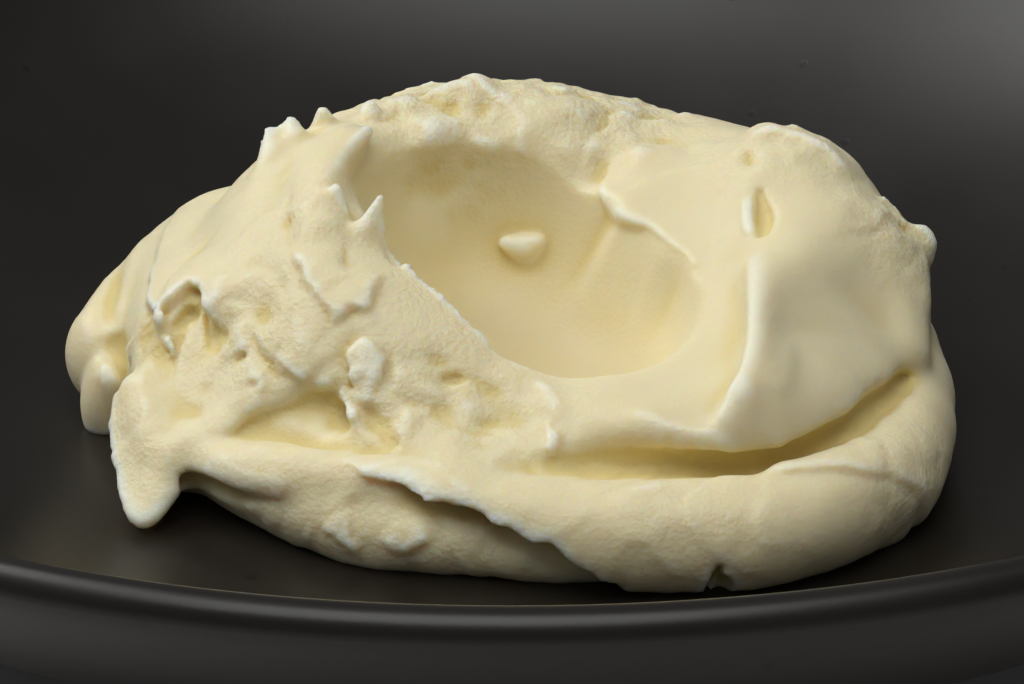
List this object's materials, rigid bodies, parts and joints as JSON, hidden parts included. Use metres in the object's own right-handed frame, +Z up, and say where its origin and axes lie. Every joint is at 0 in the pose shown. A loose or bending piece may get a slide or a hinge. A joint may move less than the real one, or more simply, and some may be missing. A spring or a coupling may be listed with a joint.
{
  "type": "mashed potato side",
  "caption": "Side of mashed potato heaped in a wide dark bowl, with a spooned well, torn folds and a dragged tongue.",
  "frame": {"origin": "centre of the bowl's foot, on the surface that it stands on", "axes": "+Z up out of the bowl; -Y to the front, where the spoon dragged the mash's low lip; +X to the right seen from the front"},
  "size_m": [0.258, 0.258, 0.048],
  "materials": {
    "stoneware": "satin",
    "mash": "satin"
  },
  "bodies": {
    "root": {"bowl": "stoneware", "mashed_potato": "mash"}
  },
  "joints": []
}
